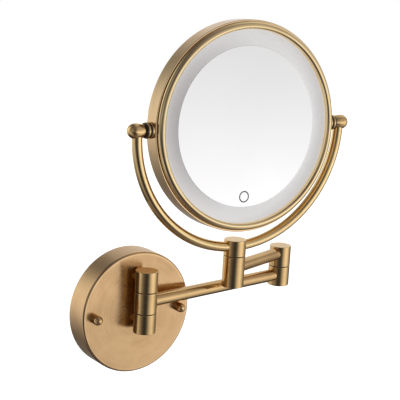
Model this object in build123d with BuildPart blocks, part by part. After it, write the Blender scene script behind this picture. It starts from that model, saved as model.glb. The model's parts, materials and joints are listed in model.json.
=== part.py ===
from build123d import *
import os
from math import radians, sin, cos, asin, degrees, sqrt

# Extendable shaving mirror: round wall cover, two-part swing arm, yoke and a
# two-sided lit mirror head.  Millimetres.  The origin is the centre of the
# wall bracket's back face; +X runs along the wall, +Y into the wall, +Z up.

os.makedirs("parts", exist_ok=True)

# ---------------------------------------------------------------- dimensions
# wall cover and bracket
COVER_R = 60.0
COVER_DEPTH = 25.5
COVER_WALL = 1.8
COVER_FACE = 2.5
COVER_EDGE = 0.9
STUD_X = 47.0
STUD_R = 2.0
STUD_HEAD_R = 3.6
STUD_HEAD_T = 1.2
STUD_END = 33.0
NUT_R = 4.2
NUT_STRAIGHT = 6.4
BRACKET_LEN = 108.0
BRACKET_H = 20.0
BRACKET_T = 2.5
WALL_HOLE_X = 28.0
WALL_HOLE_R = 2.5

# knuckle columns
KNUCKLE_R = 11.0
KNUCKLE_EDGE = 0.4
WASHER_T = 0.6
WASHER_R = 10.2
RUN = 0.05                      # running clearance on radius
FIT = 0.02                      # assembly clearance on radius
PIN_R = 3.0                     # wall pin
STEM_R = 4.0                    # elbow pin and yoke stem
TUBE_R = 6.35
TUBE_WALL = 1.3
SOCKET_AT = 7.0                 # tube ends this far from a knuckle's axis

WALL_Y = -39.5                  # wall column axis
WALL_Z = (-15.2, 4.1, 4.7, 25.1, 25.7, 45.7)
STUB_R = 4.5
STUB_IN = 32.5
STUB_Z = (-5.4, 35.7)
SCREW_R = 2.0

ARM1_ANGLE = 7.0                # heading of the first arm, towards the wall
ARM1_LEN = 181.14
ARM1_Z = 15.0
ELBOW_Z = (4.2, 24.5, 25.1, 46.0)
ARM2_ANGLE = 180.0 + 18.41      # heading of the second arm
ARM2_LEN = 85.09
ARM2_Z = 38.0
HEAD_Z = (19.5, 50.8, 51.4, 67.3)

# yoke and pivots
YAW = -3.23
TILT = -3.4
PIVOT_Z = 179.8
YOKE_R = 116.5
YOKE_DROP = 3.15
YOKE_TUBE_R = 5.0
YOKE_WALL = 1.2
CAP_R = 7.25
CAP_IN = 109.6
CAP_OUT = 119.4
TRUNNION_R = 3.0
BOSS_R = 7.75
BOSS_OUT = 104.1
COLLAR = (106.1, 108.1)
PAD_R = 6.3

# mirror head (radius from the mirror's axis, depth each side of the pivot)
CASE_R = 102.1
CASE_HALF = 8.4
CASE_IN = 100.35
STEP_IN = 99.65
STEP_HALF = 5.5
BEAD_AT = 96.8
BEAD_R = 3.5
BEAD_Z = 10.0
BEZEL_BASE = (96.3, 99.6)
GLASS_R = 95.6
GLASS_Z = (5.1, 8.1)
SILVER_R = 77.9
DISH = 5.5
DISH_T = 2.5

# ---------------------------------------------------------------- frames
wall_axis = Vector(0, WALL_Y, 0)
arm1_dir = Vector(cos(radians(ARM1_ANGLE)), sin(radians(ARM1_ANGLE)), 0)
elbow_axis = wall_axis + arm1_dir * ARM1_LEN
arm2_dir = Vector(cos(radians(ARM2_ANGLE)), sin(radians(ARM2_ANGLE)), 0)
head_axis = elbow_axis + arm2_dir * ARM2_LEN
yaw, tilt = radians(YAW), radians(TILT)
side_dir = Vector(cos(yaw), sin(yaw), 0)
yoke_front = Vector(sin(yaw), -cos(yaw), 0)
mirror_front = Vector(sin(yaw) * cos(tilt), -cos(yaw) * cos(tilt), -sin(tilt))
pivot = Vector(head_axis.X, head_axis.Y, PIVOT_Z)
yoke_centre = pivot - Vector(0, 0, YOKE_DROP)

OUTWARD = Plane(origin=(0, 0, 0), x_dir=(1, 0, 0), z_dir=(0, -1, 0))      # x right, y up, z off the wall
COVER_SECTION = Plane(origin=(0, 0, 0), x_dir=(1, 0, 0), z_dir=(0, 0, -1))  # x radius, y off the wall
WALL_NORMAL = Axis((0, 0, 0), (0, -1, 0))
YOKE = Plane(origin=pivot, x_dir=side_dir, z_dir=yoke_front)
MIRROR = Plane(origin=pivot, x_dir=side_dir, z_dir=mirror_front)
MIRROR_SECTION = Plane(origin=pivot, x_dir=side_dir, z_dir=-MIRROR.y_dir)   # x radius, y to the front
MIRROR_AXIS = Axis(pivot, mirror_front)
RIGHT = Plane(origin=pivot, x_dir=(0, 0, 1), z_dir=side_dir)
LEFT = Plane(origin=pivot, x_dir=(0, 0, 1), z_dir=-side_dir)
RIGHT_SECTION = Plane(origin=pivot, x_dir=side_dir, z_dir=yoke_front)       # x along the pivot, y radius
LEFT_SECTION = Plane(origin=pivot, x_dir=-side_dir, z_dir=-yoke_front)
PIVOT_AXIS = Axis(pivot, side_dir)
ARM1 = Plane(origin=(wall_axis.X, wall_axis.Y, ARM1_Z), x_dir=(0, 0, 1), z_dir=arm1_dir)
ARM1_BACK = Plane(origin=(elbow_axis.X, elbow_axis.Y, ARM1_Z), x_dir=(0, 0, 1), z_dir=-arm1_dir)
ARM2 = Plane(origin=(elbow_axis.X, elbow_axis.Y, ARM2_Z), x_dir=(0, 0, 1), z_dir=arm2_dir)
ARM2_BACK = Plane(origin=(head_axis.X, head_axis.Y, ARM2_Z), x_dir=(0, 0, 1), z_dir=-arm2_dir)


def level(axis, z):
    """Horizontal plane on a column's axis at height z."""
    return Plane(origin=(axis.X, axis.Y, z), x_dir=(1, 0, 0), z_dir=(0, 0, 1))


def save(part, name):
    part.part.label = name
    export_step(part.part, f"parts/{name}.step")


# ---------------------------------------------------------------- wall end
# drum-shaped cover, open to the wall, held by two studs through its face
with BuildPart() as wall_cover:
    with BuildSketch(COVER_SECTION):
        with BuildLine():
            Polyline(
                (0, COVER_DEPTH),
                (COVER_R - COVER_EDGE, COVER_DEPTH),
                (COVER_R, COVER_DEPTH - COVER_EDGE),
                (COVER_R, 0.5),
                (COVER_R - 0.5, 0),
                (COVER_R - COVER_WALL, 0),
                (COVER_R - COVER_WALL, COVER_DEPTH - COVER_FACE - 1.2),
                (COVER_R - COVER_WALL - 1.2, COVER_DEPTH - COVER_FACE),
                (0, COVER_DEPTH - COVER_FACE),
                close=True,
            )
        make_face()
    revolve(axis=WALL_NORMAL)
    with BuildSketch(OUTWARD.offset(COVER_DEPTH - COVER_FACE - 1)):
        with Locations((-STUD_X, 0), (STUD_X, 0)):
            Circle(STUD_R + 0.25)
        with Locations((0, STUB_Z[0]), (0, STUB_Z[1])):
            Circle(SCREW_R + 0.2)
    extrude(amount=COVER_FACE + 2, mode=Mode.SUBTRACT)
save(wall_cover, "wall_cover")

# flat steel strip against the wall, with two screw holes and two stud seats
with BuildPart() as wall_bracket:
    with BuildSketch(OUTWARD):
        RectangleRounded(BRACKET_LEN, BRACKET_H, 6)
        with Locations((-WALL_HOLE_X, 0), (WALL_HOLE_X, 0)):
            Circle(WALL_HOLE_R, mode=Mode.SUBTRACT)
        with Locations((-STUD_X, 0), (STUD_X, 0)):
            Circle(STUD_R + FIT, mode=Mode.SUBTRACT)
    extrude(amount=BRACKET_T)
    with BuildSketch(OUTWARD):
        with Locations((-STUD_X, 0), (STUD_X, 0)):
            Circle(STUD_HEAD_R + 0.05)
    extrude(amount=STUD_HEAD_T, mode=Mode.SUBTRACT)
save(wall_bracket, "wall_bracket")

# flat-headed studs, heads flush in the back of the strip
with BuildPart() as bracket_studs:
    with BuildSketch(OUTWARD):
        with Locations((-STUD_X, 0), (STUD_X, 0)):
            Circle(STUD_HEAD_R)
    extrude(amount=STUD_HEAD_T)
    with BuildSketch(OUTWARD):
        with Locations((-STUD_X, 0), (STUD_X, 0)):
            Circle(STUD_R)
    extrude(amount=STUD_END)
    chamfer(bracket_studs.edges().group_by(Axis.Y)[0], 0.5)
save(bracket_studs, "bracket_studs")

# slim domed nuts on the cover's face
with BuildPart() as dome_nuts:
    for x in (-STUD_X, STUD_X):
        with BuildSketch(Plane(origin=(x, 0, 0), x_dir=(1, 0, 0), z_dir=(0, 0, -1))):
            with BuildLine():
                nut_edge = Polyline(
                    (STUD_R + FIT, COVER_DEPTH),
                    (NUT_R - 0.3, COVER_DEPTH),
                    (NUT_R, COVER_DEPTH + 0.3),
                    (NUT_R, COVER_DEPTH + NUT_STRAIGHT),
                )
                RadiusArc(nut_edge @ 1, (0, COVER_DEPTH + NUT_STRAIGHT + NUT_R), -NUT_R)
                Polyline(
                    (0, COVER_DEPTH + NUT_STRAIGHT + NUT_R),
                    (0, STUD_END + 0.4),
                    (STUD_R + FIT, STUD_END + 0.4),
                    (STUD_R + FIT, COVER_DEPTH),
                )
            make_face()
        revolve(axis=Axis((x, 0, 0), (0, -1, 0)))
save(dome_nuts, "dome_nuts")

# top and bottom knuckles of the wall column, each with a blind pin hole and a
# round socket in its back for the stub that stands on the cover
with BuildPart() as column_lower_knuckle:
    with BuildSketch(level(wall_axis, WALL_Z[0])):
        Circle(KNUCKLE_R)
    extrude(amount=WALL_Z[1] - WALL_Z[0])
    chamfer(column_lower_knuckle.edges().filter_by(GeomType.CIRCLE), KNUCKLE_EDGE)
    with BuildSketch(level(wall_axis, WALL_Z[0] + 4.0)):
        Circle(PIN_R + FIT)
    extrude(amount=30, mode=Mode.SUBTRACT)
    with BuildSketch(Plane(origin=(0, -20, STUB_Z[0]), x_dir=(1, 0, 0), z_dir=(0, -1, 0))):
        Circle(STUB_R + FIT)
    extrude(amount=STUB_IN - 20, mode=Mode.SUBTRACT)
save(column_lower_knuckle, "column_lower_knuckle")

with BuildPart() as column_upper_knuckle:
    with BuildSketch(level(wall_axis, WALL_Z[4])):
        Circle(KNUCKLE_R)
    extrude(amount=WALL_Z[5] - WALL_Z[4])
    chamfer(column_upper_knuckle.edges().filter_by(GeomType.CIRCLE), KNUCKLE_EDGE)
    with BuildSketch(level(wall_axis, WALL_Z[4] - 1)):
        Circle(PIN_R + FIT)
    extrude(amount=WALL_Z[5] - 4.0 - WALL_Z[4] + 1, mode=Mode.SUBTRACT)
    with BuildSketch(Plane(origin=(0, -20, STUB_Z[1]), x_dir=(1, 0, 0), z_dir=(0, -1, 0))):
        Circle(STUB_R + FIT)
    extrude(amount=STUB_IN - 20, mode=Mode.SUBTRACT)
save(column_upper_knuckle, "column_upper_knuckle")

# short stubs between the cover's face and the two fixed knuckles
with BuildPart() as column_stubs:
    with BuildSketch(OUTWARD.offset(COVER_DEPTH)):
        with Locations((0, STUB_Z[0]), (0, STUB_Z[1])):
            Circle(STUB_R)
            Circle(SCREW_R + FIT, mode=Mode.SUBTRACT)
    extrude(amount=STUB_IN - COVER_DEPTH)
save(column_stubs, "column_stubs")

# pan-head screws from inside the cover into the stubs
with BuildPart() as column_screws:
    with BuildSketch(OUTWARD.offset(COVER_DEPTH - COVER_FACE - 2.6)):
        with Locations((0, STUB_Z[0]), (0, STUB_Z[1])):
            Circle(4.0)
    extrude(amount=2.6)
    with BuildSketch(OUTWARD.offset(COVER_DEPTH - COVER_FACE)):
        with Locations((0, STUB_Z[0]), (0, STUB_Z[1])):
            Circle(SCREW_R)
    extrude(amount=COVER_FACE + 6.5)
    with BuildSketch(OUTWARD.offset(COVER_DEPTH - COVER_FACE - 2.6)):
        with Locations((0, STUB_Z[0]), (0, STUB_Z[1])):
            Rectangle(4.6, 0.9)
            Rectangle(0.9, 4.6)
    extrude(amount=1.4, mode=Mode.SUBTRACT)
save(column_screws, "column_screws")

# pin through the three knuckles of the wall column
with BuildPart() as wall_pivot_pin:
    with BuildSketch(level(wall_axis, WALL_Z[0] + 4.0)):
        Circle(PIN_R)
    extrude(amount=WALL_Z[5] - 4.2 - WALL_Z[0] - 4.0)
    chamfer(wall_pivot_pin.edges().filter_by(GeomType.CIRCLE), 0.4)
save(wall_pivot_pin, "wall_pivot_pin")

# thin bearing washers above and below the moving knuckle
with BuildPart() as wall_pivot_washers:
    with BuildSketch(level(wall_axis, WALL_Z[1])):
        Circle(WASHER_R)
        Circle(PIN_R + 0.1, mode=Mode.SUBTRACT)
    extrude(amount=WASHER_T)
    with BuildSketch(level(wall_axis, WALL_Z[3])):
        Circle(WASHER_R)
        Circle(PIN_R + 0.1, mode=Mode.SUBTRACT)
    extrude(amount=WASHER_T)
save(wall_pivot_washers, "wall_pivot_washers")

# ---------------------------------------------------------------- first arm
with BuildPart() as lower_arm_knuckle:
    with BuildSketch(level(wall_axis, WALL_Z[2])):
        Circle(KNUCKLE_R)
    extrude(amount=WALL_Z[3] - WALL_Z[2])
    chamfer(lower_arm_knuckle.edges().filter_by(GeomType.CIRCLE), KNUCKLE_EDGE)
    with BuildSketch(level(wall_axis, WALL_Z[2] - 1)):
        Circle(PIN_R + RUN)
    extrude(amount=WALL_Z[3] - WALL_Z[2] + 2, mode=Mode.SUBTRACT)
    with BuildSketch(ARM1.offset(SOCKET_AT)):
        Circle(TUBE_R + FIT)
    extrude(amount=10, mode=Mode.SUBTRACT)
save(lower_arm_knuckle, "lower_arm_knuckle")

with BuildPart() as lower_arm_tube:
    with BuildSketch(ARM1.offset(SOCKET_AT)):
        Circle(TUBE_R)
        Circle(TUBE_R - TUBE_WALL, mode=Mode.SUBTRACT)
    extrude(amount=ARM1_LEN - 2 * SOCKET_AT)
save(lower_arm_tube, "lower_arm_tube")

# bored right through: pin hole above, shoulder, screw recess below
with BuildPart() as elbow_lower_knuckle:
    with BuildSketch(level(elbow_axis, ELBOW_Z[0])):
        Circle(KNUCKLE_R)
    extrude(amount=ELBOW_Z[1] - ELBOW_Z[0])
    chamfer(elbow_lower_knuckle.edges().filter_by(GeomType.CIRCLE), KNUCKLE_EDGE)
    with BuildSketch(level(elbow_axis, ELBOW_Z[0] + 5.6)):
        Circle(STEM_R + RUN)
    extrude(amount=30, mode=Mode.SUBTRACT)
    with BuildSketch(level(elbow_axis, ELBOW_Z[0] - 1)):
        Circle(SCREW_R + 0.4)
    extrude(amount=12, mode=Mode.SUBTRACT)
    with BuildSketch(level(elbow_axis, ELBOW_Z[0] - 1)):
        Circle(4.8)
    extrude(amount=4.6, mode=Mode.SUBTRACT)
    with BuildSketch(ARM1_BACK.offset(SOCKET_AT)):
        Circle(TUBE_R + FIT)
    extrude(amount=10, mode=Mode.SUBTRACT)
save(elbow_lower_knuckle, "elbow_lower_knuckle")

with BuildPart() as elbow_washer:
    with BuildSketch(level(elbow_axis, ELBOW_Z[1])):
        Circle(WASHER_R)
        Circle(STEM_R + 0.1, mode=Mode.SUBTRACT)
    extrude(amount=WASHER_T)
save(elbow_washer, "elbow_washer")

# ---------------------------------------------------------------- second arm
with BuildPart() as elbow_upper_knuckle:
    with BuildSketch(level(elbow_axis, ELBOW_Z[2])):
        Circle(KNUCKLE_R)
    extrude(amount=ELBOW_Z[3] - ELBOW_Z[2])
    chamfer(elbow_upper_knuckle.edges().filter_by(GeomType.CIRCLE), KNUCKLE_EDGE)
    with BuildSketch(level(elbow_axis, ELBOW_Z[2] - 1)):
        Circle(STEM_R + FIT)
    extrude(amount=ELBOW_Z[3] - 3.5 - ELBOW_Z[2] + 1, mode=Mode.SUBTRACT)
    with BuildSketch(ARM2.offset(SOCKET_AT)):
        Circle(TUBE_R + FIT)
    extrude(amount=10, mode=Mode.SUBTRACT)
    with BuildSketch(Plane(origin=(elbow_axis.X, elbow_axis.Y, 32.0), x_dir=(0, 0, 1), z_dir=-arm2_dir)):
        Circle(1.5 + FIT)
    extrude(amount=15, mode=Mode.SUBTRACT)
save(elbow_upper_knuckle, "elbow_upper_knuckle")

# shouldered pin, fixed in the upper knuckle and turning in the lower one
with BuildPart() as elbow_pin:
    with BuildSketch(level(elbow_axis, ELBOW_Z[0] + 5.8)):
        Circle(STEM_R)
        Circle(SCREW_R + FIT, mode=Mode.SUBTRACT)
    extrude(amount=8.0)
    with BuildSketch(level(elbow_axis, ELBOW_Z[0] + 13.8)):
        Circle(STEM_R)
    extrude(amount=ELBOW_Z[3] - 3.6 - ELBOW_Z[0] - 13.8)
save(elbow_pin, "elbow_pin")

with BuildPart() as elbow_screw:
    with BuildSketch(level(elbow_axis, ELBOW_Z[0] + 0.5)):
        Circle(3.4)
    extrude(amount=2.5)
    with BuildSketch(level(elbow_axis, ELBOW_Z[0] + 3.0)):
        Circle(4.3)
    extrude(amount=0.6)
    with BuildSketch(level(elbow_axis, ELBOW_Z[0] + 3.6)):
        Circle(SCREW_R)
    extrude(amount=9.0)
    with BuildSketch(level(elbow_axis, ELBOW_Z[0] + 0.5)):
        RegularPolygon(1.5, 6)
    extrude(amount=1.8, mode=Mode.SUBTRACT)
save(elbow_screw, "elbow_screw")

with BuildPart() as elbow_set_screw:
    with BuildSketch(Plane(origin=(elbow_axis.X, elbow_axis.Y, 32.0), x_dir=(0, 0, 1), z_dir=-arm2_dir).offset(STEM_R + 0.05)):
        Circle(1.5)
    extrude(amount=6.0)
    with BuildSketch(Plane(origin=(elbow_axis.X, elbow_axis.Y, 32.0), x_dir=(0, 0, 1), z_dir=-arm2_dir).offset(STEM_R + 4.3)):
        RegularPolygon(0.8, 6)
    extrude(amount=3.0, mode=Mode.SUBTRACT)
save(elbow_set_screw, "elbow_set_screw")

with BuildPart() as upper_arm_tube:
    with BuildSketch(ARM2.offset(SOCKET_AT)):
        Circle(TUBE_R)
        Circle(TUBE_R - TUBE_WALL, mode=Mode.SUBTRACT)
    extrude(amount=ARM2_LEN - 2 * SOCKET_AT)
save(upper_arm_tube, "upper_arm_tube")

with BuildPart() as head_lower_knuckle:
    with BuildSketch(level(head_axis, HEAD_Z[0])):
        Circle(KNUCKLE_R)
    extrude(amount=HEAD_Z[1] - HEAD_Z[0])
    chamfer(head_lower_knuckle.edges().filter_by(GeomType.CIRCLE), KNUCKLE_EDGE)
    with BuildSketch(level(head_axis, HEAD_Z[0] + 7.0)):
        Circle(STEM_R + RUN)
    extrude(amount=40, mode=Mode.SUBTRACT)
    with BuildSketch(level(head_axis, HEAD_Z[0] - 1)):
        Circle(SCREW_R + 0.4)
    extrude(amount=12, mode=Mode.SUBTRACT)
    with BuildSketch(level(head_axis, HEAD_Z[0] - 1)):
        Circle(4.8)
    extrude(amount=5.0, mode=Mode.SUBTRACT)
    with BuildSketch(ARM2_BACK.offset(SOCKET_AT)):
        Circle(TUBE_R + FIT)
    extrude(amount=10, mode=Mode.SUBTRACT)
save(head_lower_knuckle, "head_lower_knuckle")

with BuildPart() as head_washer:
    with BuildSketch(level(head_axis, HEAD_Z[1])):
        Circle(WASHER_R)
        Circle(STEM_R + 0.1, mode=Mode.SUBTRACT)
    extrude(amount=WASHER_T)
save(head_washer, "head_washer")

# ---------------------------------------------------------------- yoke
# hub with a stem that turns in the knuckle below and a curved cross hole that
# the yoke tube passes through
YOKE_AXIS = Axis(yoke_centre, yoke_front)
bottom_dir = Vector(0, 0, -1)
HUB_SECTION = Plane(origin=yoke_centre, x_dir=(-side_dir * sin(radians(12)) + bottom_dir * cos(radians(12))),
                    z_dir=(-side_dir * sin(radians(12)) + bottom_dir * cos(radians(12))).cross(yoke_front))
with BuildPart() as yoke_hub:
    with BuildSketch(level(head_axis, HEAD_Z[2])):
        Circle(KNUCKLE_R)
    extrude(amount=HEAD_Z[3] - HEAD_Z[2])
    chamfer(yoke_hub.edges().filter_by(GeomType.CIRCLE), KNUCKLE_EDGE)
    with BuildSketch(level(head_axis, HEAD_Z[0] + 7.4)):
        Circle(STEM_R)
    extrude(amount=HEAD_Z[2] - HEAD_Z[0] - 7.4)
    with BuildSketch(level(head_axis, HEAD_Z[0] + 7.0)):
        Circle(SCREW_R + FIT)
    extrude(amount=9.0, mode=Mode.SUBTRACT)
    with BuildSketch(HUB_SECTION):
        with Locations((YOKE_R, 0)):
            Circle(YOKE_TUBE_R + FIT)
    revolve(axis=YOKE_AXIS, revolution_arc=24, mode=Mode.SUBTRACT)
    with BuildSketch(Plane(origin=(head_axis.X, head_axis.Y, PIVOT_Z - YOKE_DROP - YOKE_R), x_dir=(0, 0, 1), z_dir=-yoke_front)):
        Circle(2.0 + FIT)
    extrude(amount=15, mode=Mode.SUBTRACT)
save(yoke_hub, "yoke_hub")

with BuildPart() as hub_screw:
    with BuildSketch(level(head_axis, HEAD_Z[0] + 0.9)):
        Circle(3.4)
    extrude(amount=2.5)
    with BuildSketch(level(head_axis, HEAD_Z[0] + 3.4)):
        Circle(4.3)
    extrude(amount=0.6)
    with BuildSketch(level(head_axis, HEAD_Z[0] + 4.0)):
        Circle(SCREW_R)
    extrude(amount=11.0)
    with BuildSketch(level(head_axis, HEAD_Z[0] + 0.9)):
        RegularPolygon(1.5, 6)
    extrude(amount=1.8, mode=Mode.SUBTRACT)
save(hub_screw, "hub_screw")

with BuildPart() as hub_set_screw:
    with BuildSketch(Plane(origin=(head_axis.X, head_axis.Y, PIVOT_Z - YOKE_DROP - YOKE_R), x_dir=(0, 0, 1), z_dir=-yoke_front).offset(YOKE_TUBE_R + 0.05)):
        Circle(2.0)
    extrude(amount=4.6)
    with BuildSketch(Plane(origin=(head_axis.X, head_axis.Y, PIVOT_Z - YOKE_DROP - YOKE_R), x_dir=(0, 0, 1), z_dir=-yoke_front).offset(YOKE_TUBE_R + 2.65)):
        RegularPolygon(1.1, 6)
    extrude(amount=3.0, mode=Mode.SUBTRACT)
save(hub_set_screw, "hub_set_screw")

# semicircular tube, its ends let into the pivot caps
LEG_END = 4.0                                              # below the pivot axis
end_angle = degrees(asin((LEG_END - YOKE_DROP) / YOKE_R))
start_dir = -side_dir * cos(radians(end_angle)) + bottom_dir * sin(radians(end_angle))
with BuildPart() as yoke_tube:
    with BuildSketch(Plane(origin=yoke_centre, x_dir=start_dir, z_dir=start_dir.cross(yoke_front))):
        with Locations((YOKE_R, 0)):
            Circle(YOKE_TUBE_R)
            Circle(YOKE_TUBE_R - YOKE_WALL, mode=Mode.SUBTRACT)
    revolve(axis=YOKE_AXIS, revolution_arc=180 - 2 * end_angle)
save(yoke_tube, "yoke_tube")

# barrels with domed ends on the tops of the yoke
with BuildPart() as pivot_cap_left:
    with BuildSketch(LEFT_SECTION):
        with BuildLine():
            cap_edge_l = Polyline(
                (CAP_IN, TRUNNION_R + RUN),
                (CAP_IN, CAP_R - 0.35),
                (CAP_IN + 0.35, CAP_R),
                (CAP_OUT, CAP_R),
            )
            RadiusArc(cap_edge_l @ 1, (CAP_OUT + CAP_R, 0), CAP_R)
            Polyline((CAP_OUT + CAP_R, 0), (CAP_OUT + 2.0, 0), (CAP_OUT + 2.0, TRUNNION_R + RUN), (CAP_IN, TRUNNION_R + RUN))
        make_face()
    revolve(axis=PIVOT_AXIS)
    with BuildSketch(Plane(origin=pivot - side_dir * (YOKE_R - 0.03) - Vector(0, 0, LEG_END - 0.06), x_dir=side_dir, z_dir=(0, 0, -1))):
        Circle(YOKE_TUBE_R + 0.06)
    extrude(amount=10, mode=Mode.SUBTRACT)
save(pivot_cap_left, "pivot_cap_left")

with BuildPart() as pivot_cap_right:
    with BuildSketch(RIGHT_SECTION):
        with BuildLine():
            cap_edge_r = Polyline(
                (CAP_IN, TRUNNION_R + RUN),
                (CAP_IN, CAP_R - 0.35),
                (CAP_IN + 0.35, CAP_R),
                (CAP_OUT, CAP_R),
            )
            RadiusArc(cap_edge_r @ 1, (CAP_OUT + CAP_R, 0), CAP_R)
            Polyline((CAP_OUT + CAP_R, 0), (CAP_OUT + 2.0, 0), (CAP_OUT + 2.0, TRUNNION_R + RUN), (CAP_IN, TRUNNION_R + RUN))
        make_face()
    revolve(axis=PIVOT_AXIS)
    with BuildSketch(Plane(origin=pivot + side_dir * (YOKE_R - 0.03) - Vector(0, 0, LEG_END - 0.06), x_dir=side_dir, z_dir=(0, 0, -1))):
        Circle(YOKE_TUBE_R + 0.06)
    extrude(amount=10, mode=Mode.SUBTRACT)
save(pivot_cap_right, "pivot_cap_right")

# metal collars and the friction washers each side of them
with BuildPart() as pivot_collars:
    for plane in (LEFT, RIGHT):
        with BuildSketch(plane.offset(COLLAR[0])):
            Circle(BOSS_R)
            Circle(TRUNNION_R + RUN, mode=Mode.SUBTRACT)
        extrude(amount=COLLAR[1] - COLLAR[0])
    chamfer(pivot_collars.edges().filter_by(lambda e: e.geom_type == GeomType.CIRCLE and e.radius > 5), 0.35)
save(pivot_collars, "pivot_collars")

with BuildPart() as pivot_friction_washers:
    for plane in (LEFT, RIGHT):
        with BuildSketch(plane.offset(BOSS_OUT)):
            Circle(PAD_R)
            Circle(TRUNNION_R + RUN, mode=Mode.SUBTRACT)
        extrude(amount=COLLAR[0] - BOSS_OUT)
        with BuildSketch(plane.offset(COLLAR[1])):
            Circle(PAD_R)
            Circle(TRUNNION_R + RUN, mode=Mode.SUBTRACT)
        extrude(amount=CAP_IN - COLLAR[1])
save(pivot_friction_washers, "pivot_friction_washers")

# ---------------------------------------------------------------- mirror head
# round drum with a thin inner step, two trunnion holes and the charging slot
SLOT_Z = -2.8
BELOW = Plane(origin=pivot - MIRROR.y_dir * CASE_R + mirror_front * SLOT_Z, x_dir=side_dir, z_dir=-MIRROR.y_dir)
with BuildPart() as mirror_case:
    with BuildSketch(MIRROR_SECTION):
        with BuildLine():
            Polyline(
                (CASE_R, -CASE_HALF + 0.5),
                (CASE_R, CASE_HALF - 0.5),
                (CASE_R - 0.5, CASE_HALF),
                (CASE_IN, CASE_HALF),
                (CASE_IN, STEP_HALF),
                (STEP_IN, STEP_HALF),
                (STEP_IN, -STEP_HALF),
                (CASE_IN, -STEP_HALF),
                (CASE_IN, -CASE_HALF),
                (CASE_R - 0.5, -CASE_HALF),
                close=True,
            )
        make_face()
    revolve(axis=MIRROR_AXIS)
    with BuildSketch(LEFT.offset(95)):
        Circle(TRUNNION_R + FIT)
    extrude(amount=10, mode=Mode.SUBTRACT)
    with BuildSketch(RIGHT.offset(95)):
        Circle(TRUNNION_R + FIT)
    extrude(amount=10, mode=Mode.SUBTRACT)
    with BuildSketch(BELOW.offset(1)):
        SlotOverall(9.3, 3.5)
    extrude(amount=-5, mode=Mode.SUBTRACT)
save(mirror_case, "mirror_case")

# saddle-backed bosses on the drum and the pins that turn in the pivot caps
with BuildPart() as pivot_bosses:
    for plane in (LEFT, RIGHT):
        with BuildSketch(plane.offset(BOSS_OUT)):
            Circle(BOSS_R)
            Circle(TRUNNION_R + FIT, mode=Mode.SUBTRACT)
        extrude(amount=-4.0)
    chamfer(pivot_bosses.edges().filter_by(lambda e: e.geom_type == GeomType.CIRCLE and e.radius > 5), 0.35)
    with BuildSketch(MIRROR.offset(-20)):
        Circle(CASE_R + 0.01)
    extrude(amount=40, mode=Mode.SUBTRACT)
save(pivot_bosses, "pivot_bosses")

with BuildPart() as trunnion_left:
    with BuildSketch(LEFT.offset(97.0)):
        Circle(5.0)
    extrude(amount=2.4)
    with BuildSketch(LEFT.offset(99.4)):
        Circle(TRUNNION_R)
    extrude(amount=CAP_OUT + 1.6 - 99.4)
save(trunnion_left, "trunnion_left")

with BuildPart() as trunnion_right:
    with BuildSketch(RIGHT.offset(97.0)):
        Circle(5.0)
    extrude(amount=2.4)
    with BuildSketch(RIGHT.offset(99.4)):
        Circle(TRUNNION_R)
    extrude(amount=CAP_OUT + 1.6 - 99.4)
save(trunnion_right, "trunnion_right")

# round-fronted bezel rings that hold the glass, one each side
with BuildPart() as front_bezel:
    with BuildSketch(MIRROR_SECTION):
        with Locations((BEAD_AT, BEAD_Z)):
            Circle(BEAD_R)
        with Locations(((BEZEL_BASE[0] + BEZEL_BASE[1]) / 2, (GLASS_Z[0] + BEAD_Z) / 2)):
            Rectangle(BEZEL_BASE[1] - BEZEL_BASE[0], BEAD_Z - GLASS_Z[0])
        with Locations((GLASS_R + 0.05 - 5, GLASS_Z[1] + 0.02 - 5)):
            Rectangle(10, 10, mode=Mode.SUBTRACT)
    revolve(axis=MIRROR_AXIS)
save(front_bezel, "front_bezel")

with BuildPart() as rear_bezel:
    with BuildSketch(MIRROR_SECTION):
        with Locations((BEAD_AT, -BEAD_Z)):
            Circle(BEAD_R)
        with Locations(((BEZEL_BASE[0] + BEZEL_BASE[1]) / 2, -(GLASS_Z[0] + BEAD_Z) / 2)):
            Rectangle(BEZEL_BASE[1] - BEZEL_BASE[0], BEAD_Z - GLASS_Z[0])
        with Locations((GLASS_R + 0.05 - 5, -(GLASS_Z[1] + 0.02 - 5))):
            Rectangle(10, 10, mode=Mode.SUBTRACT)
    revolve(axis=MIRROR_AXIS)
save(rear_bezel, "rear_bezel")

# plane mirror glass with a fine ground edge, and the frosted ring around it
with BuildPart() as front_mirror:
    with BuildSketch(MIRROR.offset(GLASS_Z[0])):
        Circle(SILVER_R)
    extrude(amount=GLASS_Z[1] - GLASS_Z[0])
    chamfer(front_mirror.edges().sort_by(MIRROR_AXIS)[-1], 0.4)
save(front_mirror, "front_mirror")

with BuildPart() as light_diffuser:
    with BuildSketch(MIRROR.offset(GLASS_Z[0])):
        Circle(GLASS_R)
        Circle(SILVER_R + FIT, mode=Mode.SUBTRACT)
    extrude(amount=GLASS_Z[1] - GLASS_Z[0] - 0.1)
save(light_diffuser, "light_diffuser")

# magnifying mirror: a shallow dish, concave to the rear
dish_r = (GLASS_R**2 + DISH**2) / (2 * DISH)
with BuildPart() as rear_mirror:
    with BuildSketch(MIRROR_SECTION):
        with BuildLine():
            RadiusArc((0, -GLASS_Z[1] + DISH), (GLASS_R, -GLASS_Z[1]), dish_r)
            Line((GLASS_R, -GLASS_Z[1]), (GLASS_R, -GLASS_Z[1] + DISH_T))
            RadiusArc((GLASS_R, -GLASS_Z[1] + DISH_T), (0, -GLASS_Z[1] + DISH + DISH_T), -dish_r)
            Line((0, -GLASS_Z[1] + DISH + DISH_T), (0, -GLASS_Z[1] + DISH))
        make_face()
    revolve(axis=MIRROR_AXIS)
save(rear_mirror, "rear_mirror")

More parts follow.
